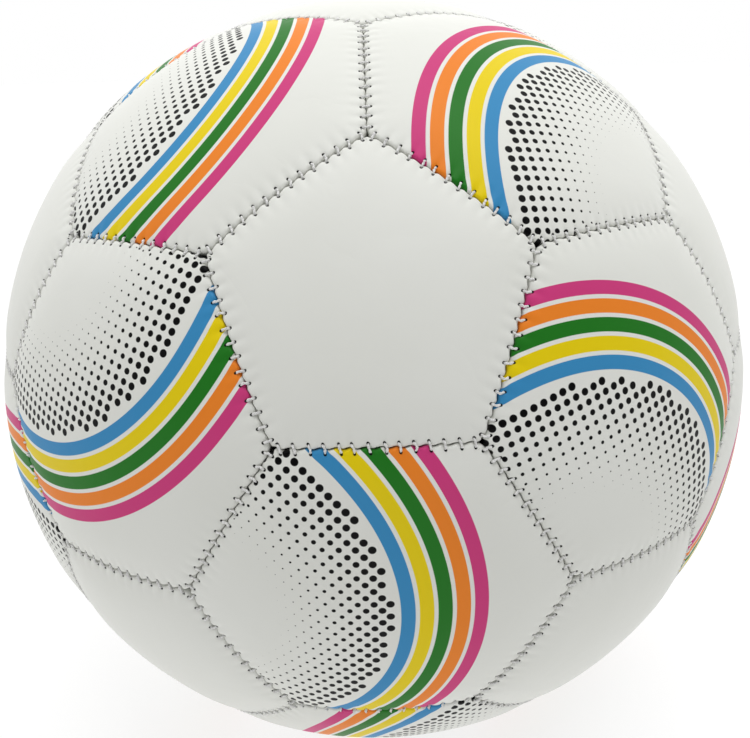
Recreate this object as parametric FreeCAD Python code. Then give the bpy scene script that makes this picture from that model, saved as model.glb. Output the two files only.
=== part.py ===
import FreeCAD, Part
import itertools
import math
import os

# A hand-stitched size 5 soccer ball of 12 pentagons and 20 hexagons, in millimetres.
# Each panel is a laminate: a PVC cover whose edge turns in at the seam, a foam pad and a woven lining.
# A rubber bladder carries the moulded valve, whose core takes the inflation needle and pulls out.
# Frame: origin at the ball's centre, +Z out through the valve in the middle of the top pentagon,
# and the first of the five upper pentagons faces -Y.

# Ball
CIRCUMFERENCE = 690.0
BALL_RADIUS = CIRCUMFERENCE / (2 * math.pi)

# Panel laminate, from the outside in
COVER_THICKNESS = 1.2
FOAM_THICKNESS = 2.0
LINING_THICKNESS = 0.8
GLUE_LINE = 0.05
SEAM_GAP = 0.3
EDGE_ROLL_RADIUS = 2.0
CORNER_RADIUS = 2.5
PAD_CLEARANCE = 0.1

FOAM_OUTER = BALL_RADIUS - COVER_THICKNESS - GLUE_LINE
LINING_OUTER = FOAM_OUTER - FOAM_THICKNESS - GLUE_LINE
LINING_INNER = LINING_OUTER - LINING_THICKNESS
RIM_BOTTOM = LINING_INNER

# Stitching thread, lying in the groove between two panels
THREAD_RADIUS = 0.35
THREAD_CLEARANCE = 0.05
THREAD_END_GAP = 4.0

# Bladder
BLADDER_CLEARANCE = 0.3
BLADDER_THICKNESS = 0.8
BLADDER_OUTER = LINING_INNER - BLADDER_CLEARANCE
BLADDER_INNER = BLADDER_OUTER - BLADDER_THICKNESS

# Valve housing: a flange inside the bladder, a neck through the laminate and a tail that holds the core
VALVE_CLEARANCE = 0.1
NECK_RADIUS = 5.9
NECK_GAP = 0.3
NECK_TOP = BALL_RADIUS - COVER_THICKNESS - NECK_GAP
NOSE_RADIUS = 4.0
NOSE_DEPTH = 0.6
NOSE_TOP = BALL_RADIUS - NOSE_DEPTH
NOSE_EDGE = 0.4
FLANGE_OVERLAP = 0.4
FLANGE_RADIUS = 14.0
FLANGE_THICKNESS = 1.3
TAIL_RADIUS = 4.6
TAIL_LENGTH = 16.5
TAIL_BOTTOM = NOSE_TOP - TAIL_LENGTH

# Valve core: a pull-out rubber plug with a head that sits in the nose and a blind bore for the needle
CORE_FIT = 0.05
CORE_RADIUS = 2.5
CORE_RECESS = 1.0
CORE_BOTTOM = TAIL_BOTTOM + CORE_RECESS
CORE_HEAD_RADIUS = 3.2
CORE_HEAD_THICKNESS = 1.0
CORE_DEPTH = 0.2
CORE_TOP = NOSE_TOP - CORE_DEPTH
CORE_SEAT = CORE_TOP - CORE_HEAD_THICKNESS
SEAT_GAP = 0.05
CORE_TIP_CHAMFER = 0.6
NEEDLE_RADIUS = 1.0
NEEDLE_FUNNEL = 0.5
NEEDLE_DEPTH = 12.5
NEEDLE_BOTTOM = CORE_TOP - NEEDLE_FUNNEL - NEEDLE_DEPTH

# Holes for the valve in the top pentagon's layers
COVER_HOLE_RADIUS = NOSE_RADIUS + VALVE_CLEARANCE
LAYER_HOLE_RADIUS = NECK_RADIUS + VALVE_CLEARANCE
BACKING_RING_RADIUS = 12.0

ORIGIN = FreeCAD.Vector(0, 0, 0)
UP = FreeCAD.Vector(0, 0, 1)
RING_COUNT = 5
ON_SURFACE = 1e-3


# ---- where the 32 panels lie -------------------------------------------------------------------

def unit(v):
    """The vector v at length 1."""
    return FreeCAD.Vector(v).normalize()


def ring_direction(step, height):
    """Direction of a pentagon in the ring at that unit height, step fifths of a turn from -Y."""
    turn = math.radians(-90 + 360 / RING_COUNT * step)
    reach = math.sqrt(1 - height * height)
    return FreeCAD.Vector(reach * math.cos(turn), reach * math.sin(turn), height)


RING_HEIGHT = 1 / math.sqrt(5)
TOP = UP
BOTTOM = -UP
UPPER = [ring_direction(i, RING_HEIGHT) for i in range(RING_COUNT)]
LOWER = [ring_direction(i + 1 / 2, -RING_HEIGHT) for i in range(RING_COUNT)]
PENTAGONS = [TOP, BOTTOM] + UPPER + LOWER


def seam_corner(near, far):
    """Corner of the pentagon centred on near, on its way to the neighbouring pentagon far."""
    return unit(near * 2 + far)


def are_neighbours(a, b):
    """Whether one seam joins the pentagons centred on a and b."""
    return abs(a.dot(b) - RING_HEIGHT) < ON_SURFACE


def pentagon_corners(centre):
    """The five corners of the pentagon centred on that direction."""
    return [seam_corner(centre, p) for p in PENTAGONS if are_neighbours(p, centre)]


def hexagon_corners(a, b, c):
    """The six corners of the hexagon between three neighbouring pentagons, in order."""
    order = [(a, b), (b, a), (b, c), (c, b), (c, a), (a, c)]
    return [seam_corner(near, far) for near, far in order]


def hexagon_rings():
    """The four rings of five hexagons, from the top down, as the pentagons around each one."""
    rings = {"cap": [], "upper": [], "lower": [], "base": []}
    for i in range(RING_COUNT):
        j = (i + 1) % RING_COUNT
        rings["cap"].append((TOP, UPPER[i], UPPER[j]))
        rings["upper"].append((UPPER[i], UPPER[j], LOWER[i]))
        rings["lower"].append((LOWER[i], LOWER[j], UPPER[j]))
        rings["base"].append((LOWER[i], LOWER[j], BOTTOM))
    return rings


def placement(centre, corner):
    """Turns a panel made round +Z, with its first corner over +X, to its place on the ball."""
    across = centre.cross(corner)
    rotation = FreeCAD.Rotation(across.cross(centre), across, centre, "ZXY")
    return FreeCAD.Placement(ORIGIN, rotation)


# ---- solids of one panel, made round +Z --------------------------------------------------------

def sphere(radius):
    """A ball whose poles lie on X, so that no pole or seam line crosses a panel made round +Z."""
    ball = Part.makeSphere(radius)
    ball.rotate(ORIGIN, FreeCAD.Vector(0, 1, 0), 90)
    return ball


def shell(inner, outer):
    """A hollow ball."""
    return sphere(outer).cut(sphere(inner))


def panel_wedge(sides, corner_angle, inset):
    """A pyramid over a regular panel, its sides moved in from the seam planes by inset."""
    half_side = math.pi / sides
    side_angle = math.atan(math.tan(corner_angle) * math.cos(half_side))
    apex_height = inset / math.sin(side_angle)
    base_height = BALL_RADIUS + EDGE_ROLL_RADIUS
    reach = (base_height - apex_height) * math.tan(corner_angle)
    apex = FreeCAD.Vector(0, 0, apex_height)
    turns = [2 * half_side * k for k in range(sides)]
    base = [FreeCAD.Vector(reach * math.cos(t), reach * math.sin(t), base_height) for t in turns]
    faces = [Part.Face(Part.makePolygon(base + [base[0]]))]
    for k in range(sides):
        faces.append(Part.Face(Part.makePolygon([apex, base[k - 1], base[k], apex])))
    return Part.makeSolid(Part.makeShell(faces))


def is_radial(edge):
    """Whether an edge is one of the straight corner edges of a panel."""
    start, end = (v.Point.Length for v in edge.Vertexes)
    return abs(start - end) > COVER_THICKNESS


def is_on_sphere(edge, radius):
    """Whether an edge lies on the sphere of that radius."""
    middle = edge.valueAt((edge.FirstParameter + edge.LastParameter) / 2)
    points = [v.Point for v in edge.Vertexes] + [middle]
    return all(abs(p.Length - radius) < ON_SURFACE for p in points)


def cover(sides, corner_angle):
    """A panel's PVC cover: a spherical skin whose rolled edge turns in along the seam."""
    outside = panel_wedge(sides, corner_angle, SEAM_GAP / 2)
    inside = panel_wedge(sides, corner_angle, SEAM_GAP / 2 + COVER_THICKNESS)
    blank = shell(RIM_BOTTOM, BALL_RADIUS).common(outside)
    blank = blank.makeFillet(CORNER_RADIUS, [e for e in blank.Edges if is_radial(e)])
    rolled = [e for e in blank.Edges if is_on_sphere(e, BALL_RADIUS)]
    blank = blank.makeFillet(EDGE_ROLL_RADIUS, rolled)
    hollow = sphere(BALL_RADIUS - COVER_THICKNESS).common(inside)
    return blank.cut(hollow)


def layer(sides, corner_angle, inner, outer):
    """A panel's foam or lining, inside the cover's rim."""
    inset = SEAM_GAP / 2 + COVER_THICKNESS + PAD_CLEARANCE
    return shell(inner, outer).common(panel_wedge(sides, corner_angle, inset))


def valve_hole(solid, radius):
    """The solid with a round hole along Z."""
    return solid.cut(Part.makeCylinder(radius, 2 * BALL_RADIUS))


# ---- stitching thread --------------------------------------------------------------------------

def thread_depth():
    """How far the thread's centre lies below the ball's surface, resting between two rolled edges."""
    apart = EDGE_ROLL_RADIUS + SEAM_GAP / 2
    touching = EDGE_ROLL_RADIUS + THREAD_RADIUS + THREAD_CLEARANCE
    return EDGE_ROLL_RADIUS - math.sqrt(touching ** 2 - apart ** 2)


def seam_thread(start, end):
    """The thread of one seam: a round arc that stops short of both three-way corners."""
    radius = BALL_RADIUS - thread_depth()
    normal = unit(start.cross(end))
    trim = math.degrees(THREAD_END_GAP / radius)
    sweep = math.degrees(start.getAngle(end)) - 2 * trim
    first = FreeCAD.Rotation(normal, trim).multVec(start)
    circle = Part.makeCircle(THREAD_RADIUS, first * radius, normal.cross(first))
    return Part.Face(Part.Wire(circle)).revolve(ORIGIN, normal, sweep)


# ---- bladder and valve, round Z ----------------------------------------------------------------

def turned(profile):
    """The solid of revolution round Z of an outline given as (radius, height) points."""
    points = [FreeCAD.Vector(r, 0, z) for r, z in profile]
    outline = Part.Face(Part.makePolygon(points + [points[0]]))
    return outline.revolve(ORIGIN, UP, 360)


def bladder():
    """The rubber bladder, a hollow ball with a hole for the valve's neck."""
    return valve_hole(shell(BLADDER_INNER, BLADDER_OUTER), LAYER_HOLE_RADIUS)


def valve_housing():
    """The moulded valve seat: a curved flange with a stepped neck and a tail, bored for the core."""
    flange_top = BLADDER_INNER - GLUE_LINE
    flange = shell(flange_top - FLANGE_THICKNESS, flange_top)
    flange = flange.common(Part.makeCylinder(FLANGE_RADIUS, 2 * BALL_RADIUS))
    bore = CORE_RADIUS + CORE_FIT
    seat = CORE_HEAD_RADIUS + CORE_FIT
    step = flange_top - FLANGE_THICKNESS
    body = turned([
        (bore, TAIL_BOTTOM),
        (TAIL_RADIUS, TAIL_BOTTOM),
        (TAIL_RADIUS, step),
        (NECK_RADIUS, step),
        (NECK_RADIUS, NECK_TOP),
        (NOSE_RADIUS, NECK_TOP),
        (NOSE_RADIUS, NOSE_TOP - NOSE_EDGE),
        (NOSE_RADIUS - NOSE_EDGE, NOSE_TOP),
        (seat, NOSE_TOP),
        (seat, CORE_SEAT - SEAT_GAP),
        (bore, CORE_SEAT - SEAT_GAP),
    ])
    return valve_hole(flange, NECK_RADIUS - FLANGE_OVERLAP).fuse(body).removeSplitter()


def valve_core():
    """The rubber core: a headed plug with a funnel and a blind needle bore."""
    return turned([
        (0, CORE_BOTTOM),
        (CORE_RADIUS - CORE_TIP_CHAMFER, CORE_BOTTOM),
        (CORE_RADIUS, CORE_BOTTOM + CORE_TIP_CHAMFER),
        (CORE_RADIUS, CORE_SEAT),
        (CORE_HEAD_RADIUS, CORE_SEAT),
        (CORE_HEAD_RADIUS, CORE_TOP),
        (NEEDLE_RADIUS + NEEDLE_FUNNEL, CORE_TOP),
        (NEEDLE_RADIUS, CORE_TOP - NEEDLE_FUNNEL),
        (NEEDLE_RADIUS, NEEDLE_BOTTOM),
        (0, NEEDLE_BOTTOM),
    ])


# ---- the whole ball ----------------------------------------------------------------------------

def export(name, solids):
    """Writes one node: a single solid, or a group of separate ones."""
    shape = solids[0] if len(solids) == 1 else Part.makeCompound(solids)
    for solid in shape.Solids:
        assert solid.isValid(), name
    shape.exportStep(os.path.join("parts", name + ".step"))


def placed(solid, corners, centre):
    """A copy of a panel solid made round +Z, at its place on the ball."""
    copy = solid.copy()
    copy.Placement = placement(centre, corners[0]).multiply(copy.Placement)
    return copy


def corner_angle_of(corners, centre):
    """Angle between a panel's centre and its corners, seen from the ball's centre."""
    return corners[0].getAngle(centre)


def make_pentagons():
    """The 12 pentagon panels. The top one is pierced for the valve."""
    corners = pentagon_corners(TOP)
    sides = len(corners)
    angle = corner_angle_of(corners, TOP)
    skin = cover(sides, angle)
    foam = layer(sides, angle, LINING_OUTER + GLUE_LINE, FOAM_OUTER)
    lining = layer(sides, angle, LINING_INNER, LINING_OUTER)

    top_skin = valve_hole(placed(skin, corners, TOP), COVER_HOLE_RADIUS)
    top_lining = placed(lining, corners, TOP)
    ring = top_lining.common(Part.makeCylinder(BACKING_RING_RADIUS - PAD_CLEARANCE, 2 * BALL_RADIUS))
    export("pentagon_cover_valve", [top_skin])
    export("valve_foam_pad", [valve_hole(placed(foam, corners, TOP), LAYER_HOLE_RADIUS)])
    export("valve_lining", [valve_hole(top_lining, BACKING_RING_RADIUS)])
    export("valve_backing_ring", [valve_hole(ring, LAYER_HOLE_RADIUS)])

    others = {"pentagon_cover_bottom": BOTTOM}
    for i in range(RING_COUNT):
        others[f"pentagon_cover_upper_{i + 1}"] = UPPER[i]
        others[f"pentagon_cover_lower_{i + 1}"] = LOWER[i]
    for name, centre in others.items():
        export(name, [placed(skin, pentagon_corners(centre), centre)])
    export("pentagon_foam_pads", [placed(foam, pentagon_corners(c), c) for c in others.values()])
    export("pentagon_linings", [placed(lining, pentagon_corners(c), c) for c in others.values()])


def make_hexagons():
    """The 20 hexagon panels, in four rings of five."""
    first_corners = hexagon_corners(TOP, UPPER[0], UPPER[1])
    sides = len(first_corners)
    angle = corner_angle_of(first_corners, unit(TOP + UPPER[0] + UPPER[1]))
    skin = cover(sides, angle)
    foam = layer(sides, angle, LINING_OUTER + GLUE_LINE, FOAM_OUTER)
    lining = layer(sides, angle, LINING_INNER, LINING_OUTER)
    foams = []
    linings = []
    for ring, members in hexagon_rings().items():
        for i, around in enumerate(members):
            corners = hexagon_corners(*around)
            centre = unit(around[0] + around[1] + around[2])
            export(f"hexagon_cover_{ring}_{i + 1}", [placed(skin, corners, centre)])
            foams.append(placed(foam, corners, centre))
            linings.append(placed(lining, corners, centre))
    export("hexagon_foam_pads", foams)
    export("hexagon_linings", linings)


def make_threads():
    """Thread round every pentagon, and along the seams where two hexagons meet."""
    rounds = []
    for centre in PENTAGONS:
        around = [p for p in PENTAGONS if are_neighbours(p, centre)]
        for a, b in itertools.combinations(around, 2):
            if are_neighbours(a, b):
                rounds.append(seam_thread(seam_corner(centre, a), seam_corner(centre, b)))
    between = []
    for a, b in itertools.combinations(PENTAGONS, 2):
        if are_neighbours(a, b):
            between.append(seam_thread(seam_corner(a, b), seam_corner(b, a)))
    export("seam_thread_pentagons", rounds)
    export("seam_thread_hexagons", between)


def main():
    """Writes every node to parts/."""
    os.makedirs("parts", exist_ok=True)
    make_pentagons()
    make_hexagons()
    make_threads()
    export("bladder", [bladder()])
    export("valve_housing", [valve_housing()])
    export("valve_core", [valve_core()])


main()
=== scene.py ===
import math
from types import SimpleNamespace

import bpy
import numpy as np
from mathutils import Matrix, Vector


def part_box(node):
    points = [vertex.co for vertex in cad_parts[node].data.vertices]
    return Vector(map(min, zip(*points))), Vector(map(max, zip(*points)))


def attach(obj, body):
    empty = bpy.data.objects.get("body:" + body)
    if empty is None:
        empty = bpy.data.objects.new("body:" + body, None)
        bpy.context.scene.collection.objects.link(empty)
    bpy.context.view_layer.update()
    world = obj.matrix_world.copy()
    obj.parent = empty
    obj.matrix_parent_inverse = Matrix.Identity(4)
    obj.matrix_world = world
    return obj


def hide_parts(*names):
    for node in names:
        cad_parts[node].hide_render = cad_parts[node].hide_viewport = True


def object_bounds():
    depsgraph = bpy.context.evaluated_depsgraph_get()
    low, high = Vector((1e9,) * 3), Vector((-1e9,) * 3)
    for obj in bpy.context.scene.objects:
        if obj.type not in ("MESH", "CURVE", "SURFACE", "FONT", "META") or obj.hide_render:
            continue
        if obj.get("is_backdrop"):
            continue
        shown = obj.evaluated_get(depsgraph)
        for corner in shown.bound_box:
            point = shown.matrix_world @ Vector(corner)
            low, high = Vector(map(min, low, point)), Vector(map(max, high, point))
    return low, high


# A hand-stitched soccer ball. The 32 covers and the thread are modelled here as they look: crowned
# panels with rolled edges, pulled in by twisted stitches through needle holes. Every hexagon carries the
# same plain print, turned: an arch of five parallel bands over dots. The CAD nodes inside keep their shapes.

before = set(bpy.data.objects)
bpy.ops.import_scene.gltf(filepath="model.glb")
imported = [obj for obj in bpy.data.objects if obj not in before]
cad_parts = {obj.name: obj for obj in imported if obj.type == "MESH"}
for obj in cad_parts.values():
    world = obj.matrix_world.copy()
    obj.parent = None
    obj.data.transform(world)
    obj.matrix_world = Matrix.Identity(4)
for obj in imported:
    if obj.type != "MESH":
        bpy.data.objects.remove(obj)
cad_low, cad_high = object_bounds()

MM = 0.001
BALL_RADIUS = -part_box("pentagon_cover_bottom")[0].z / MM
RANDOM_SEED = 17
CREASE_SEED = 1000


# ---- where the panels lie, as in the CAD source ------------------------------------------------

RING_COUNT = 5
HEXAGON_SIDES = 6
RING_HEIGHT = 1 / math.sqrt(5)
TOP = np.array([0.0, 0.0, 1.0])
BOTTOM = -TOP


def unit(v):
    """The vector v at length 1."""
    return v / np.linalg.norm(v)


def ring_direction(step, height):
    """Direction of a pentagon in the ring at that unit height, step fifths of a turn from -Y."""
    turn = math.radians(-90 + 360 / RING_COUNT * step)
    reach = math.sqrt(1 - height * height)
    return np.array([reach * math.cos(turn), reach * math.sin(turn), height])


UPPER = [ring_direction(i, RING_HEIGHT) for i in range(RING_COUNT)]
LOWER = [ring_direction(i + 0.5, -RING_HEIGHT) for i in range(RING_COUNT)]
PENTAGONS = [TOP, BOTTOM] + UPPER + LOWER
NEIGHBOUR_COSINE = 0.9
OPPOSITE_COSINE = 0.1
HALF_CORNER = math.pi / 6


def seam_corner(near, far):
    """Corner of the pentagon centred on near, a third of the way to the neighbouring pentagon far."""
    return unit(near * 2 + far)


def clockwise(centre, corners):
    """The corners in clockwise order seen from outside, the first one staying first."""
    up = unit(corners[0] - centre * (corners[0] @ centre))
    right = np.cross(up, centre)
    turns = [(math.atan2(c @ right, c @ up) + HALF_CORNER) % math.tau for c in corners]
    return [corners[k] for k in np.argsort(turns)]


def pentagon_panel(node, centre):
    """A pentagon panel: its node, its centre and its corners."""
    near = [p for p in PENTAGONS if OPPOSITE_COSINE < p @ centre < NEIGHBOUR_COSINE]
    corners = clockwise(centre, [seam_corner(centre, p) for p in near])
    return SimpleNamespace(node=node, centre=centre, corners=corners, printed=False)


def hexagon_panel(node, first, left, right, turn):
    """A hexagon between three pentagons, its print turned by that many corners."""
    centre = unit(first + left + right)
    pairs = [(first, left), (left, first), (left, right), (right, left), (right, first), (first, right)]
    corners = clockwise(centre, [seam_corner(near, far) for near, far in pairs])
    corners = corners[turn:] + corners[:turn]
    return SimpleNamespace(node=node, centre=centre, corners=corners, printed=True)


def all_panels():
    """The 12 pentagons and the 20 hexagons."""
    panels = [pentagon_panel("pentagon_cover_valve", TOP), pentagon_panel("pentagon_cover_bottom", BOTTOM)]
    for i in range(RING_COUNT):
        panels.append(pentagon_panel(f"pentagon_cover_upper_{i + 1}", UPPER[i]))
        panels.append(pentagon_panel(f"pentagon_cover_lower_{i + 1}", LOWER[i]))
    for i in range(RING_COUNT):
        j = (i + 1) % RING_COUNT
        cap, upper = (TOP, UPPER[i], UPPER[j]), (UPPER[i], UPPER[j], LOWER[i])
        lower, base = (LOWER[i], LOWER[j], UPPER[j]), (LOWER[i], LOWER[j], BOTTOM)
        rings = (("cap", cap), ("upper", upper), ("lower", lower), ("base", base))
        for level, (ring, around) in enumerate(rings):
            turn = (2 * i + level) % HEXAGON_SIDES
            panels.append(hexagon_panel(f"hexagon_cover_{ring}_{i + 1}", *around, turn))
    return panels


# ---- seams and their stitches ------------------------------------------------------------------

SEAM_HALF_GAP = 0.06
STITCH_COUNT = 14
END_STITCH = 1.7
HOLE_OFFSET = 1.07
STITCH_REACH = 0.88

# Unevenness of the hand stitches: how far each value spreads, in mm
SPACING_SPREAD = 0.13
SPACING_LIMIT = 0.3
SEAM_SLANT = 0.55
STITCH_SLANT = 0.16
SEAM_BOW = 0.4
STITCH_BOW = 0.1
LIFT_SPREAD = 0.05
WANDER_RANGE = (0.1, 0.22)


def make_seam(start, end, index):
    """A seam between two corners, with its own uneven stitches. Lengths are in mm."""
    rng = np.random.default_rng([RANDOM_SEED, index])
    middle = unit(start + end)
    length = BALL_RADIUS * math.acos(start @ end)
    even = np.linspace(END_STITCH, length - END_STITCH, STITCH_COUNT)
    return SimpleNamespace(
        index=index,
        middle=middle,
        along=unit(end - start),
        across=unit(np.cross(start, end)),
        length=length,
        at=even + rng.normal(0, SPACING_SPREAD, STITCH_COUNT).clip(-SPACING_LIMIT, SPACING_LIMIT),
        slant=rng.uniform(-SEAM_SLANT, SEAM_SLANT) + rng.normal(0, STITCH_SLANT, STITCH_COUNT),
        bow=rng.choice([-1, 1]) * rng.uniform(0.0, SEAM_BOW) + rng.normal(0, STITCH_BOW, STITCH_COUNT),
        lift=rng.normal(0, LIFT_SPREAD, STITCH_COUNT),
        twist=rng.uniform(0, math.tau, STITCH_COUNT),
        wander=rng.choice([-1, 1]) * rng.uniform(*WANDER_RANGE),
    )


def all_seams(panels):
    """Every seam once, and each panel's own six or five of them, clockwise."""
    found = {}
    for panel in panels:
        panel.seams = []
        for k, start in enumerate(panel.corners):
            end = panel.corners[(k + 1) % len(panel.corners)]
            key = tuple(np.round(unit(start + end), 3) + 0.0)
            if key not in found:
                found[key] = make_seam(start, end, len(found))
            panel.seams.append(found[key])
    return list(found.values())


# ---- panel meshes ------------------------------------------------------------------------------

SIDE_SAMPLES = 112
ARC_SAMPLES = 4
CORNER_CUT = 1.6
LIP_RINGS = (0.0, 0.08, 0.2, 0.38, 0.6, 0.85, 1.1, 1.4, 1.8, 2.4, 3.2)
SHOULDER_RINGS = (4.1, 4.9, 5.8, 6.8)
WALL_DROPS = (3.0, 1.5, 0.6)
# (how far in they start, sample step, pitch) of the coarser rings further in
INNER_RINGS = ((0.0, 4, 1.4), (17.0, 8, 2.0), (26.0, 16, 2.6))
MIDDLE_MARGIN = 1.6
HOLED_MARGIN = 8.0
HOLED_STEP = 8
ROUNDING_START = 9.0
ROUNDING_SHARE = 0.8
CIRCLE_SCALE = 1.04
MIDDLE_INSET = 30.0

# Shape of a cover, in mm: (height, width) where there are two
PILLOW_DEPTH = 0.8
PILLOW_WIDTH = 12.0
LIP_ROLL = 0.85
PULL = (0.22, 1.1)
PULL_SHARPNESS = 1.5
PUCKER = (0.10, 2.2)
TUG = (0.07, 0.8)
TUG_PLACE = (2.4, 2.0)
DIMPLE = (0.35, 0.30)
DIMPLE_WIDTH = 0.34
SWAY_WIDTH = 1.6

CREASE_COUNT = 7
CREASE_LENGTHS = (16, 46)
CREASE_HEIGHTS = (0.01, 0.035)
CREASE_FLAT_SHARE = 0.4
CREASE_EDGE = 10
SEED_WEIGHTS = (371, 517, 913)
TINY = 1e-9

VALVE_HOLE = 4.1
VALVE_HOLE_ROLL = 0.45
VALVE_RINGS = (7.0, 6.1, 5.4, 4.9, 4.6, 4.42, 4.28, 4.17, 4.1)
VALVE_WALL_DROPS = (0.3, 0.9)


def smoothstep(x, low, high):
    """0 up to low, 1 from high, and smooth between."""
    q = np.clip((x - low) / (high - low), 0, 1)
    return q * q * (3 - 2 * q)


def rounded_outline(sides, apothem, cut):
    """A regular polygon with rounded corners, clockwise from its top corner, and each point's side."""
    half = math.pi / sides
    radius = cut / math.tan(half)
    corner_reach = apothem / math.cos(half)
    points = []
    for k in range(sides):
        here, there = (math.pi / 2 - 2 * half * (k + q) for q in (0, 1))
        first = corner_reach * np.array([math.cos(here), math.sin(here)])
        last = corner_reach * np.array([math.cos(there), math.sin(there)])
        step = unit(last - first)

        def arc(corner, direction, j):
            centre = corner * (1 - radius / math.cos(half) / corner_reach)
            turn = direction - j * half / ARC_SAMPLES
            return centre + radius * np.array([math.cos(turn), math.sin(turn)])

        straight = np.linspace(0, 1, SIDE_SAMPLES - 2 * ARC_SAMPLES + 1)[:, None]
        points += [arc(first, here, j) for j in range(ARC_SAMPLES)]
        points += list(first + step * cut + straight * (last - first - 2 * step * cut))
        points += [arc(last, there, j) for j in range(1 - ARC_SAMPLES, 0)]
    return np.array(points), np.repeat(np.arange(sides), SIDE_SAMPLES)


def ring_plan(reach):
    """(distance in from the edge, sample step) of the rings of a panel, as far in as reach."""
    plan = [(e, 1) for e in LIP_RINGS] + [(e, 2) for e in SHOULDER_RINGS]
    e = SHOULDER_RINGS[-1]
    while True:
        step, pitch = [(step, pitch) for start, step, pitch in INNER_RINGS if e >= start][-1]
        e += pitch
        if e > reach:
            return plan
        plan.append((e, step))


def panel_grid(sides, corner_angle, holed):
    """The rings of a panel made round +Z, from the foot of its turned-in edge to its middle.

    Each ring has points on the plane at height 1, how far each one is in from the edge, how far it
    drops below the lip, and its side.
    """
    slope = math.atan(math.tan(corner_angle) * math.cos(math.pi / sides))
    apothem = math.tan(slope - SEAM_HALF_GAP / BALL_RADIUS)
    cut = CORNER_CUT / BALL_RADIUS * (1 + math.tan(corner_angle) ** 2)
    outline, side = rounded_outline(sides, apothem, cut)
    bearing = unit_rows(outline)
    reach = slope * BALL_RADIUS - (HOLED_MARGIN if holed else MIDDLE_MARGIN)
    rings = []
    for drop in WALL_DROPS:
        rings.append((outline, 0.0, drop, side))
    for e, step in ring_plan(reach):
        share = math.tan(slope - (SEAM_HALF_GAP + e) / BALL_RADIUS) / apothem
        round_share = smoothstep(e, ROUNDING_START, reach * ROUNDING_SHARE)
        circle = bearing * apothem * CIRCLE_SCALE
        points = share * (outline * (1 - round_share) + circle * round_share)
        rings.append((points[::step], e, 0.0, side[::step]))
    if holed:
        for radius in VALVE_RINGS:
            points = bearing[::HOLED_STEP] * math.tan(radius / BALL_RADIUS)
            rings.append((points, slope * BALL_RADIUS - radius, 0.0, side[::HOLED_STEP]))
        for drop in VALVE_WALL_DROPS:
            rings.append((rings[-1][0], rings[-1][1], drop, rings[-1][3]))
    return rings


def unit_rows(v):
    """Each row of v at length 1."""
    return v / np.linalg.norm(v, axis=-1, keepdims=True)


def ring_faces(counts, closed):
    """Faces between neighbouring rings, one after the other, and a fan over the last one if closed."""
    faces = []
    start = 0
    for outer, inner in zip(counts, counts[1:]):
        below = start + outer
        q = np.arange(inner)
        after = (q + 1) % inner
        if inner == outer:
            faces += np.stack([start + q, below + q, below + after, start + after], 1).tolist()
        else:
            a, b, c = start + 2 * q, start + 2 * q + 1, start + (2 * q + 2) % outer
            faces += np.stack([a, below + q, b], 1).tolist()
            faces += np.stack([b, below + after, c], 1).tolist()
            faces += np.stack([b, below + q, below + after], 1).tolist()
        start = below
    if closed:
        q = np.arange(counts[-1])
        tip = np.full_like(q, start + counts[-1])
        faces += np.stack([start + q, tip, start + (q + 1) % counts[-1]], 1).tolist()
    return faces


def creases(points, rng):
    """Slow unevenness of a stretched cover, in mm, at points in mm."""
    height = np.zeros(len(points))
    for _ in range(CREASE_COUNT):
        wavelength = rng.uniform(*CREASE_LENGTHS)
        wave = unit(rng.normal(size=3)) * math.tau / wavelength
        height += rng.uniform(*CREASE_HEIGHTS) * np.sin(points @ wave + rng.uniform(0, math.tau))
    return height


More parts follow.
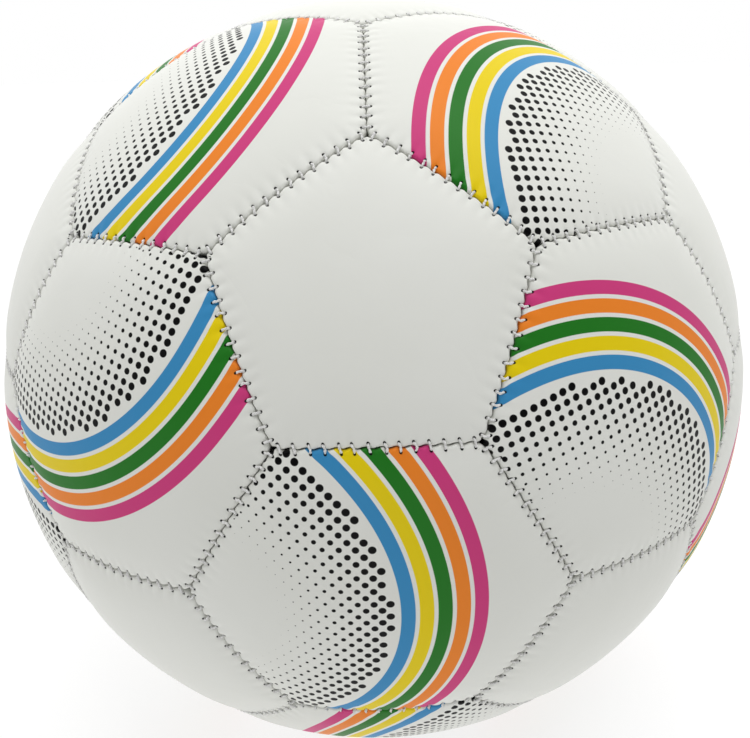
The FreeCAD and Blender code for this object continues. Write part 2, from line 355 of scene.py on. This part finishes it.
def build_panel(panel):
    """The mesh object of one panel."""
    sides = len(panel.corners)
    holed = panel.node == "pentagon_cover_valve"
    corner_angle = math.acos(panel.corners[0] @ panel.centre)
    rings = panel_grid(sides, corner_angle, holed)
    flat = np.concatenate([r[0] for r in rings] + ([] if holed else [np.zeros((1, 2))]))
    e = np.concatenate([np.full(len(r[0]), r[1]) for r in rings] + ([] if holed else [[MIDDLE_INSET]]))
    drop = np.concatenate([np.full(len(r[0]), r[2]) for r in rings] + ([] if holed else [[0.0]]))
    side = np.concatenate([r[3] for r in rings] + ([] if holed else [[0]])).astype(int)

    up = unit(panel.corners[0] - panel.centre * (panel.corners[0] @ panel.centre))
    right = np.cross(up, panel.centre)
    direction = unit_rows(flat[:, :1] * right + flat[:, 1:] * up + panel.centre)

    # Place along and away from the seam of each point's own side, in mm
    middle = np.array([s.middle for s in panel.seams])[side]
    along = np.array([s.along for s in panel.seams])[side]
    across = np.array([s.across for s in panel.seams])[side]
    sign = np.array([np.sign(panel.centre @ s.across) for s in panel.seams])
    lengths = np.array([s.length for s in panel.seams])[side]
    t = BALL_RADIUS * np.arctan2((direction * along).sum(1), (direction * middle).sum(1)) + lengths / 2
    w = BALL_RADIUS * np.arcsin((direction * across).sum(1) * sign[side])
    phase = np.zeros(len(t))
    for k, seam in enumerate(panel.seams):
        mine = side == k
        holes = seam.at + sign[k] * seam.slant / 2
        marks = np.concatenate([[0], holes, [seam.length]])
        counts = np.concatenate([[0.5], np.arange(1, STITCH_COUNT + 1), [STITCH_COUNT + 0.5]])
        phase[mine] = np.interp(t[mine], marks, counts)
    wave = np.cos(math.tau * phase)
    pitch = (panel.seams[0].length - 2 * END_STITCH) / (STITCH_COUNT - 1)
    to_stitch = (phase - np.round(phase)) * pitch
    wander = np.array([s.wander for s in panel.seams])[side]

    # Depth below the ball's sphere
    own_seed = int(abs(panel.centre @ SEED_WEIGHTS) * 10)
    rng = np.random.default_rng([RANDOM_SEED, CREASE_SEED + len(panel.node), own_seed])
    pillow = PILLOW_DEPTH * (1 - np.clip(e / PILLOW_WIDTH, 0, 1)) ** 2
    roll = LIP_ROLL - np.sqrt(np.maximum(LIP_ROLL ** 2 - np.maximum(LIP_ROLL - e, 0) ** 2, 0))
    pull = PULL[0] * np.maximum(wave, 0) ** PULL_SHARPNESS * np.exp(-(e / PULL[1]) ** 2)
    pucker = PUCKER[0] * wave * np.exp(-e / PUCKER[1])
    tug_place = np.exp(-((w - TUG_PLACE[0]) / TUG_PLACE[1]) ** 2)
    tug = TUG[0] * np.exp(-(to_stitch / TUG[1]) ** 2) * tug_place
    dimple = DIMPLE[0] * np.exp(-(to_stitch / DIMPLE[1]) ** 2 - ((w - HOLE_OFFSET) / DIMPLE_WIDTH) ** 2)
    depth = pillow + roll + pull + pucker + tug + dimple + drop
    if holed:
        radius = BALL_RADIUS * np.arccos(np.clip(direction @ panel.centre, -1, 1))
        inside = np.clip(VALVE_HOLE + VALVE_HOLE_ROLL - radius, 0, VALVE_HOLE_ROLL)
        depth += VALVE_HOLE_ROLL - np.sqrt(VALVE_HOLE_ROLL ** 2 - inside ** 2)
    level = direction * BALL_RADIUS
    crease_share = CREASE_FLAT_SHARE + (1 - CREASE_FLAT_SHARE) * np.exp(-e / CREASE_EDGE)
    depth -= creases(level, rng) * crease_share
    depth = np.maximum(depth, 0.0)
    points = direction * (BALL_RADIUS - depth)[:, None]
    sway = wander * np.sin(math.tau * phase) * np.exp(-(e / SWAY_WIDTH) ** 2)
    points += across * sway[:, None]

    name = panel.node.replace("cover", "panel")
    faces = ring_faces([len(r[0]) for r in rings], not holed)
    piece = mesh_object(name, points * MM, faces)
    seam_data = np.stack([wave, np.sin(math.tau * phase), w], 1)
    add_attribute(piece, "seam", seam_data)
    bend = np.arctan(np.linalg.norm(flat, axis=1)) * BALL_RADIUS
    plan = unit_rows(flat + [[TINY, 0]]) * bend[:, None]
    add_attribute(piece, "plan", np.column_stack([plan, np.zeros(len(plan))]))
    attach(piece, "ball")
    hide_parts(panel.node)
    return piece


def mesh_object(name, points, faces):
    """A smooth mesh object in the scene."""
    mesh = bpy.data.meshes.new(name)
    mesh.from_pydata(points.tolist(), [], faces)
    mesh.polygons.foreach_set("use_smooth", np.ones(len(mesh.polygons), bool))
    mesh.update()
    piece = bpy.data.objects.new(name, mesh)
    bpy.context.scene.collection.objects.link(piece)
    return piece


def add_attribute(piece, name, values):
    """A vector for every vertex, which materials read."""
    layer = piece.data.attributes.new(name, "FLOAT_VECTOR", "POINT")
    layer.data.foreach_set("vector", np.ascontiguousarray(values, dtype=np.float32).ravel())


# ---- stitches ----------------------------------------------------------------------------------

# Half a stitch, from the middle of the seam to inside its needle hole: (across, depth), in mm
STITCH_HALF = (
    (0.0, 0.84), (0.15, 0.8), (0.32, 0.71), (0.48, 0.66), (0.64, 0.72), (0.78, 1.0), (0.86, 1.6),
)
BOW_SHARPNESS = 1.6
THREAD_RADIUS = 0.26
THREAD_SIDES = 9
PLY_DEPTH = 0.2
PLY_TURNS = 1.1


def stitch_tubes(seam):
    """Vertices (in mm), faces and lay of a seam's stitches.

    The lay is each vertex's (share of the way along its stitch, cosine and sine of its turn in the twist).
    """
    half = np.array(STITCH_HALF)
    across = np.concatenate([-half[:0:-1, 0], half[:, 0]]) * STITCH_REACH / half[-1, 0]
    depth = np.concatenate([half[:0:-1, 1], half[:, 1]])
    share = across / STITCH_REACH
    count = len(across)
    t = seam.at[:, None] + seam.slant[:, None] / 2 * share
    t = t + seam.bow[:, None] * (1 - np.abs(share) ** BOW_SHARPNESS)
    sink = depth + seam.lift[:, None]
    angle = (t - seam.length / 2) / BALL_RADIUS
    lean = np.broadcast_to(across / BALL_RADIUS, angle.shape)
    ahead = np.cos(angle)[..., None] * seam.middle + np.sin(angle)[..., None] * seam.along
    direction = np.cos(lean)[..., None] * ahead + np.sin(lean)[..., None] * seam.across
    path = direction * (BALL_RADIUS - sink)[..., None]
    tangent = unit_rows(np.gradient(path, axis=1))
    sideways = unit_rows(np.cross(tangent, direction))
    up = np.cross(sideways, tangent)
    turn = np.arange(THREAD_SIDES) * math.tau / THREAD_SIDES
    twist = seam.twist[:, None] + np.arange(count) / (count - 1) * PLY_TURNS * math.tau
    lobes = 1 + PLY_DEPTH * np.cos(2 * (turn - twist[..., None]))
    radius = THREAD_RADIUS * lobes
    around = np.cos(turn)[:, None] * up[:, :, None] + np.sin(turn)[:, None] * sideways[:, :, None]
    points = path[:, :, None] + radius[..., None] * around
    q = np.arange(THREAD_SIDES)
    after = (q + 1) % THREAD_SIDES
    faces = []
    for s in range(STITCH_COUNT):
        for p in range(count - 1):
            low = (s * count + p) * THREAD_SIDES
            high = low + THREAD_SIDES
            faces.append(np.stack([low + q, low + after, high + after, high + q], 1))
    run = np.broadcast_to(np.linspace(0, 1, count)[None, :, None], points.shape[:3])
    twisted = turn - twist[..., None]
    lay = np.stack([run, np.cos(twisted), np.sin(twisted)], -1)
    return points.reshape(-1, 3), np.concatenate(faces), lay.reshape(-1, 3)


def build_stitches(name, seams, node):
    """One object with the stitches of several seams, standing for a CAD node of thread."""
    points, faces, lay = [], [], []
    start = 0
    for seam in seams:
        p, f, a = stitch_tubes(seam)
        points.append(p)
        faces.append(f + start)
        lay.append(a)
        start += len(p)
    piece = mesh_object(name, np.concatenate(points) * MM, np.concatenate(faces).tolist())
    add_attribute(piece, "lay", np.concatenate(lay))
    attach(piece, "ball")
    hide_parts(node)
    return piece


# ---- materials ---------------------------------------------------------------------------------

class Number:
    """A value made by nodes, so that a node tree can be written as arithmetic."""

    def __init__(self, graph, socket):
        self.graph = graph
        self.socket = socket

    def __add__(self, other):
        return self.graph.math("ADD", self, other)

    def __radd__(self, other):
        return self.graph.math("ADD", other, self)

    def __sub__(self, other):
        return self.graph.math("SUBTRACT", self, other)

    def __rsub__(self, other):
        return self.graph.math("SUBTRACT", other, self)

    def __mul__(self, other):
        return self.graph.math("MULTIPLY", self, other)

    def __truediv__(self, other):
        return self.graph.math("DIVIDE", self, other)

    def __gt__(self, other):
        return self.graph.math("GREATER_THAN", self, other)


class Graph:
    """Nodes of one material."""

    def __init__(self, name):
        self.material = bpy.data.materials.new(name)
        self.material.use_nodes = True
        self.tree = self.material.node_tree
        self.shader = self.tree.nodes["Principled BSDF"]

    def put(self, socket, value):
        """Links a value made by nodes to a socket, or sets the socket to a plain one."""
        if isinstance(value, Number):
            self.tree.links.new(value.socket, socket)
        elif isinstance(value, bpy.types.NodeSocket):
            self.tree.links.new(value, socket)
        else:
            socket.default_value = value

    def node(self, kind, inputs=None, **settings):
        node = self.tree.nodes.new(kind)
        for key, value in settings.items():
            setattr(node, key, value)
        for key, value in (inputs or {}).items():
            self.put(node.inputs[key], value)
        return node

    def math(self, operation, *values, clamp=False):
        node = self.node("ShaderNodeMath", operation=operation, use_clamp=clamp)
        for socket, value in zip(node.inputs, values):
            self.put(socket, value)
        return Number(self, node.outputs[0])

    def clamp(self, value):
        return self.math("ADD", value, 0.0, clamp=True)

    def ramp_between(self, value, low, high):
        """0 up to low, 1 from high, smooth between."""
        node = self.node("ShaderNodeMapRange", {"Value": value, "From Min": low, "From Max": high},
                         interpolation_type="SMOOTHSTEP")
        return Number(self, node.outputs[0])

    def mix(self, share, a, b, blend="MIX"):
        node = self.node("ShaderNodeMix", {0: share, 6: a, 7: b}, data_type="RGBA", blend_type=blend)
        return node.outputs[2]

    def attribute(self, name):
        """The x, y and z of a vector attribute, and the vector."""
        source = self.node("ShaderNodeAttribute", attribute_name=name)
        return *self.split(source.outputs["Vector"]), source.outputs["Vector"]

    def split(self, vector):
        parts = self.node("ShaderNodeSeparateXYZ", {0: vector})
        return tuple(Number(self, s) for s in parts.outputs)

    def join(self, x, y, z=0.0):
        return self.node("ShaderNodeCombineXYZ", {0: x, 1: y, 2: z}).outputs[0]

    def place(self):
        """The point's place on the object, in metres."""
        return self.node("ShaderNodeTexCoord").outputs["Object"]

    def noise(self, vector, scale, detail=2.0, roughness=0.5, distortion=0.0):
        node = self.node("ShaderNodeTexNoise", {
            "Vector": vector, "Scale": scale, "Detail": detail,
            "Roughness": roughness, "Distortion": distortion,
        })
        return Number(self, node.outputs[0])

    def finish(self, colour, roughness, height=None, distance=0.0002, strength=1.0, **fixed):
        """Feeds the shader. The fixed values are the shader's own sockets."""
        self.put(self.shader.inputs["Base Color"], colour)
        self.put(self.shader.inputs["Roughness"], roughness)
        if height is not None:
            relief = {"Strength": strength, "Distance": distance, "Height": height}
            bump = self.node("ShaderNodeBump", relief)
            self.put(self.shader.inputs["Normal"], bump.outputs[0])
        for key, value in fixed.items():
            self.shader.inputs[key.replace("_", " ")].default_value = value
        return self.material


def srgb(red, green, blue):
    """A colour given as 0 to 255 on a screen, in linear light."""
    return tuple(
        (c / 255 / 12.92) if c <= 10 else ((c / 255 + 0.055) / 1.055) ** 2.4
        for c in (red, green, blue)
    )


GREEN = srgb(36, 118, 34)
MAGENTA = srgb(206, 64, 126)
ORANGE = srgb(238, 134, 44)
YELLOW = srgb(232, 207, 20)
BLUE = srgb(60, 140, 192)
BLACK = srgb(5, 5, 6)
# Painted shade: the colour of the shadow inside the needle holes
HOLE_SHADE = srgb(20, 19, 18)

# The print: an arch of plain parallel bands, listed from the inside, and dots that shrink away from
# it. The arch is part of rings round a point below the middle of the hexagon. Lengths are in mm.
ARCH_DROP = 46.0
ARCH_RADIUS = 50.0
ARCH_BANDS = (BLUE, YELLOW, GREEN, ORANGE, MAGENTA)
BAND_WIDTH = 3.3
BAND_PITCH = 4.1
EDGE_SOFTNESS = 0.12
DOT_PITCH = 2.5
GRID_TURN = math.pi / 4
DOT_FIELD = 27.0
DOT_CLEARANCE = 0.8
LARGEST_DOT = 1.0


def band(g, distance, inner, outer):
    """Share of a band between two distances from the arch's centre."""
    return g.clamp((distance - inner) / EDGE_SOFTNESS) * g.clamp((outer - distance) / EDGE_SOFTNESS)


def from_arch_centre(g, plan):
    """Distance on the hexagon from the centre of the arch."""
    x, y, _ = g.split(plan)
    rise = y + ARCH_DROP
    return g.math("SQRT", x * x + rise * rise)


def grid_cell(g, plan, pitch, turn):
    """A square grid of that pitch and turn: the distance from the cell's middle, and that middle."""
    turned = g.node("ShaderNodeVectorRotate", {"Vector": plan, "Angle": turn}, rotation_type="Z_AXIS")
    x, y, _ = g.split(turned.outputs[0])
    x, y = x / pitch, y / pitch
    cell_x, cell_y = g.math("FLOOR", x), g.math("FLOOR", y)
    off_x, off_y = x - cell_x - 0.5, y - cell_y - 0.5
    distance = g.math("SQRT", off_x * off_x + off_y * off_y) * pitch
    middle = g.join((cell_x + 0.5) * pitch, (cell_y + 0.5) * pitch)
    back = g.node("ShaderNodeVectorRotate", {"Vector": middle, "Angle": -turn}, rotation_type="Z_AXIS")
    return distance, back.outputs[0]


def print_on(g, colour):
    """The bands and dots, painted over a colour, and the share of the surface under ink."""
    _, _, _, plan = g.attribute("plan")
    distance = from_arch_centre(g, plan)
    inked = 0.0
    for k, ink in enumerate(ARCH_BANDS):
        inner = ARCH_RADIUS + k * BAND_PITCH
        share = band(g, distance, inner, inner + BAND_WIDTH)
        colour = g.mix(share, colour, (*ink, 1.0))
        inked = share + inked
    off_middle, middle = grid_cell(g, plan, DOT_PITCH, GRID_TURN)
    below = ARCH_RADIUS - DOT_CLEARANCE - LARGEST_DOT - from_arch_centre(g, middle)
    size = (1.0 - g.clamp(below / DOT_FIELD)) * LARGEST_DOT
    dot = g.clamp((size - off_middle) / EDGE_SOFTNESS) * (below > 0.0)
    return g.mix(dot, colour, (*BLACK, 1.0)), inked + dot


INK_ROUGHNESS = 0.03
COVER_TINTS = (srgb(225, 226, 219), srgb(233, 234, 229))
# Painted shade in the seam groove: its colour, how far from the seam it reaches in mm, and its share
GROOVE_SHADE = srgb(120, 116, 108)
GROOVE_SHADE_WIDTH = 0.25
GROOVE_SHADE_SHARE = 0.3
STITCH_STEP = 3.17
HOLE_LENGTH = 0.4
HOLE_WIDTH = 0.46
HOLE_SOFTNESS = 0.3
CLOUD_SCALE = 26.0
GRAIN_SCALE = 1500.0
RIDGE_SCALE = 42.0
RIDGE_SHARPNESS = 9.0
RIPPLE_SCALE = 160.0
# Share of each kind of unevenness in the surface's relief, and the relief's depth in metres
GRAIN_RELIEF = 0.05
WRINKLE_RELIEF = 0.5
RIPPLE_RELIEF = 0.25
COVER_RELIEF = 0.00012


def cover_material(name, printed):
    """Glossy PVC with a faint grain and slow creases, with painted shade in the needle holes and along the
    seam groove.
    """
    g = Graph(name)
    place = g.place()
    wave, swing, w, _ = g.attribute("seam")
    cloud = g.noise(place, CLOUD_SCALE, 3.0)
    tint = g.mix(cloud, *((*shade, 1.0) for shade in COVER_TINTS))
    colour, inked = print_on(g, tint) if printed else (tint, 0.0)
    to_stitch = g.math("ARCTAN2", swing, wave) * (STITCH_STEP / math.tau)
    gap = (w - HOLE_OFFSET) / HOLE_WIDTH
    near = g.math("SQRT", (to_stitch / HOLE_LENGTH) * (to_stitch / HOLE_LENGTH) + gap * gap)
    # Painted shade: a dark oval at each needle hole, where the hole's shadow falls
    hole_shade = g.clamp((1.0 - near) / HOLE_SOFTNESS)
    # Painted shade: the cover greys towards the seam, where the groove between panels is shaded
    groove_shade = g.clamp((GROOVE_SHADE_WIDTH - w) / GROOVE_SHADE_WIDTH) * GROOVE_SHADE_SHARE
    colour = g.mix(groove_shade, colour, (*GROOVE_SHADE, 1.0))
    colour = g.mix(hole_shade, colour, (*HOLE_SHADE, 1.0))
    grain = g.noise(place, GRAIN_SCALE, 2.0)
    ridge = g.math("ABSOLUTE", g.noise(place, RIDGE_SCALE, 3.0, 0.55, 0.8) - 0.5)
    wrinkle = g.clamp(ridge * RIDGE_SHARPNESS)
    ripple = g.noise(place, RIPPLE_SCALE, 2.0)
    height = grain * GRAIN_RELIEF + wrinkle * WRINKLE_RELIEF + ripple * RIPPLE_RELIEF
    roughness = 0.34 + cloud * 0.12 + hole_shade * 0.3 + grain * 0.04 + inked * INK_ROUGHNESS
    return g.finish(colour, roughness, height, COVER_RELIEF, 0.6, Coat_Weight=0.05, Coat_Roughness=0.2,
                    Specular_IOR_Level=0.07)


THREAD_DARK = srgb(226, 226, 224)
THREAD_LIGHT = srgb(252, 252, 251)
THREAD_WAX = srgb(190, 188, 182)
FIBRE_RUN = 3.0
FIBRE_LEAN = 0.8
FIBRE_ROUND = 6.0


def thread_material():
    """Waxed two-ply polyester thread: fine fibres along the twist."""
    g = Graph("waxed_thread")
    run, cosine, sine, _ = g.attribute("lay")
    along = run * FIBRE_RUN + g.math("ARCTAN2", sine, cosine) * FIBRE_LEAN
    fibres = g.noise(g.join(along, cosine * FIBRE_ROUND, sine * FIBRE_ROUND), 5.0, 3.0)
    cloud = g.noise(g.place(), 300.0, 2.0)
    colour = g.mix(fibres, (*THREAD_DARK, 1.0), (*THREAD_LIGHT, 1.0))
    colour = g.mix(cloud * 0.1, colour, (*THREAD_WAX, 1.0))
    return g.finish(colour, 0.45 + fibres * 0.2, fibres, 0.0001, 0.8, Sheen_Weight=0.2, Sheen_Roughness=0.5)


FOAM_PALE = srgb(240, 234, 212)
FOAM_DEEP = srgb(226, 219, 196)
FOAM_CELL_SCALE = 1400.0


def foam_material():
    """Closed-cell foam."""
    g = Graph("closed_cell_foam")
    place = g.place()
    cells = g.node("ShaderNodeTexVoronoi", {"Vector": place, "Scale": FOAM_CELL_SCALE})
    wall = Number(g, cells.outputs["Distance"])
    cloud = g.noise(place, 60.0, 2.0)
    colour = g.mix(cloud, (*FOAM_PALE, 1.0), (*FOAM_DEEP, 1.0))
    return g.finish(colour, 0.85 + cloud * 0.1, wall, 0.0002, 0.7)


WEAVE_DARK = srgb(196, 190, 172)
WEAVE_LIGHT = srgb(228, 224, 210)
WEAVE_SCALE = 260.0
WEAVE_DISTORTION = 0.6


def lining_material():
    """Plain weave lining fabric, woven over the ball's own directions."""
    g = Graph("woven_lining")
    place = g.place()
    wave = {"Vector": place, "Scale": WEAVE_SCALE, "Distortion": WEAVE_DISTORTION}
    warp = g.node("ShaderNodeTexWave", wave, bands_direction="X")
    weft = g.node("ShaderNodeTexWave", wave, bands_direction="Z")
    weave = Number(g, warp.outputs["Fac"]) * 0.5 + Number(g, weft.outputs["Fac"]) * 0.5
    colour = g.mix(weave, (*WEAVE_DARK, 1.0), (*WEAVE_LIGHT, 1.0))
    return g.finish(colour, 0.8 + weave * 0.1, weave, 0.0003, 0.8, Sheen_Weight=0.25, Sheen_Roughness=0.6)


def rubber_material(name, dark, light, grain_scale):
    """Moulded or dipped rubber with a dusty bloom."""
    g = Graph(name)
    place = g.place()
    bloom = g.noise(place, 90.0, 4.0, 0.6)
    grain = g.noise(place, grain_scale, 2.0)
    colour = g.mix(g.ramp_between(bloom, 0.45, 0.75), (*dark, 1.0), (*light, 1.0))
    return g.finish(colour, 0.5 + bloom * 0.2, grain, 0.0001, 0.7, Specular_IOR_Level=0.4)


def dress(piece, material):
    """Gives a piece one material, in the object's own slots."""
    if not piece.material_slots:
        piece.data.materials.append(material)
    for place in piece.material_slots:
        place.material = material


# ---- the ball ----------------------------------------------------------------------------------

panels = all_panels()
seams = all_seams(panels)
white = cover_material("white_pvc", False)
printed = cover_material("printed_pvc", True)
for panel in panels:
    dress(build_panel(panel), printed if panel.printed else white)

thread = thread_material()
taken = set()
for panel in panels:
    if not panel.printed:
        name = panel.node.replace("pentagon_cover", "stitches_pentagon")
        dress(build_stitches(name, panel.seams, "seam_thread_pentagons"), thread)
        taken |= {s.index for s in panel.seams}
rest = [s for s in seams if s.index not in taken]
# The remaining seams in belts by the unit height of their middles: (label, from, up to)
BELTS = (
    ("cap", 0.7, 1.0),
    ("upper", 0.45, 0.7),
    ("middle", -0.45, 0.45),
    ("lower", -0.7, -0.45),
    ("base", -1.0, -0.7),
)
for label, low, high in BELTS:
    belt = [s for s in rest if low <= s.middle[2] < high]
    if belt:
        dress(build_stitches("stitches_hexagon_" + label, belt, "seam_thread_hexagons"), thread)

foam = foam_material()
for node in ("pentagon_foam_pads", "hexagon_foam_pads", "valve_foam_pad"):
    dress(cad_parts[node], foam)
lining = lining_material()
for node in ("pentagon_linings", "hexagon_linings", "valve_lining", "valve_backing_ring"):
    dress(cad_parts[node], lining)
dipped = rubber_material("bladder_rubber", srgb(28, 27, 27), srgb(58, 57, 55), 500.0)
dress(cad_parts["bladder"], dipped)
moulded = rubber_material("moulded_rubber", srgb(24, 24, 25), srgb(50, 50, 50), 1800.0)
dress(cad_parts["valve_housing"], moulded)
dress(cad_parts["valve_core"], moulded)


# ---- floor, light and camera -------------------------------------------------------------------

FLOOR_SIZE = 8.0
FLOOR_SHADES = (0.27, 0.29)
FLOOR_GLOW = 0.75
ROOM_BRIGHT = 1.2
ROOM_DIM = 0.0
DIM_TOWARDS = (0.22, -1.0, -0.52)
DIMMING_RANGE = (-0.75, 0.64)
KEY_PLACE = (0.18, -0.24, 1.08)
KEY_SIZE = 0.9
KEY_POWER = 7.1
CAMERA_PLACE = (-0.00068, -0.28434, 0.09685)
CAMERA_ROLL = -1.84
CAMERA_LENS = 45.2
CAMERA_SHIFT = (0.002, -0.0017)


def floor():
    """A plain white floor under the ball."""
    g = Graph("studio_floor")
    cloud = g.noise(g.place(), 3.0, 2.0)
    shade = g.mix(cloud, *((level, level, level, 1.0) for level in FLOOR_SHADES))
    material = g.finish(shade, 0.9, Specular_IOR_Level=0.1, Emission_Color=(1.0, 1.0, 1.0, 1.0),
                        Emission_Strength=FLOOR_GLOW)
    mesh = bpy.data.meshes.new("floor")
    size, low = FLOOR_SIZE, cad_low.z
    mesh.from_pydata([(-size, -size, low), (size, -size, low), (size, size, low), (-size, size, low)], [],
                     [(0, 1, 2, 3)])
    ground = bpy.data.objects.new("floor", mesh)
    bpy.context.scene.collection.objects.link(ground)
    dress(ground, material)
    ground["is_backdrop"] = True


def soft_light(name, place, size, power):
    """A large square light that faces the ball."""
    data = bpy.data.lights.new(name, "AREA")
    data.shape = "SQUARE"
    data.size = size
    data.energy = power
    light = bpy.data.objects.new(name, data)
    light.location = place
    light.rotation_mode = "QUATERNION"
    light.rotation_quaternion = (-Vector(place)).to_track_quat("-Z", "Y")
    bpy.context.scene.collection.objects.link(light)


def surroundings(bright, dim, dim_towards):
    """A white room, dimmer on one side. The camera sees it plain white."""
    world = bpy.data.worlds.new("studio")
    bpy.context.scene.world = world
    world.use_nodes = True
    nodes, links = world.node_tree.nodes, world.node_tree.links
    backing = nodes["Background"]
    backing.inputs["Color"].default_value = (1.0, 1.0, 1.0, 1.0)
    direction = nodes.new("ShaderNodeTexCoord").outputs["Generated"]
    facing = nodes.new("ShaderNodeVectorMath")
    facing.operation = "DOT_PRODUCT"
    facing.inputs[1].default_value = Vector(dim_towards).normalized()
    links.new(direction, facing.inputs[0])
    lit = nodes.new("ShaderNodeMapRange")
    lit.interpolation_type = "SMOOTHSTEP"
    for key, value in zip(("From Min", "From Max", "To Min", "To Max"), (*DIMMING_RANGE, bright, dim)):
        lit.inputs[key].default_value = value
    links.new(facing.outputs["Value"], lit.inputs["Value"])
    seen = nodes.new("ShaderNodeMix")
    seen.inputs[3].default_value = 1.0
    links.new(nodes.new("ShaderNodeLightPath").outputs["Is Camera Ray"], seen.inputs[0])
    links.new(lit.outputs[0], seen.inputs[2])
    links.new(seen.outputs[0], backing.inputs["Strength"])


def camera(place, roll, lens, shift):
    """The camera, aimed at the ball's middle and rolled by some degrees."""
    data = bpy.data.cameras.new("camera")
    data.lens = lens
    data.shift_x, data.shift_y = shift
    eye = bpy.data.objects.new("camera", data)
    ahead = -Vector(place).normalized()
    level_right = ahead.cross(Vector((0, 0, 1))).normalized()
    level_up = level_right.cross(ahead)
    turn = math.radians(roll)
    right = level_right * math.cos(turn) + level_up * math.sin(turn)
    above = level_up * math.cos(turn) - level_right * math.sin(turn)
    axes = Matrix((right, above, -ahead)).transposed().to_4x4()
    eye.matrix_world = Matrix.Translation(place) @ axes
    bpy.context.scene.collection.objects.link(eye)
    bpy.context.scene.camera = eye


floor()
surroundings(ROOM_BRIGHT, ROOM_DIM, DIM_TOWARDS)
soft_light("key", KEY_PLACE, KEY_SIZE, KEY_POWER)
camera(CAMERA_PLACE, CAMERA_ROLL, CAMERA_LENS, CAMERA_SHIFT)
bpy.context.scene.view_settings.view_transform = "Standard"

low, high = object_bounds()
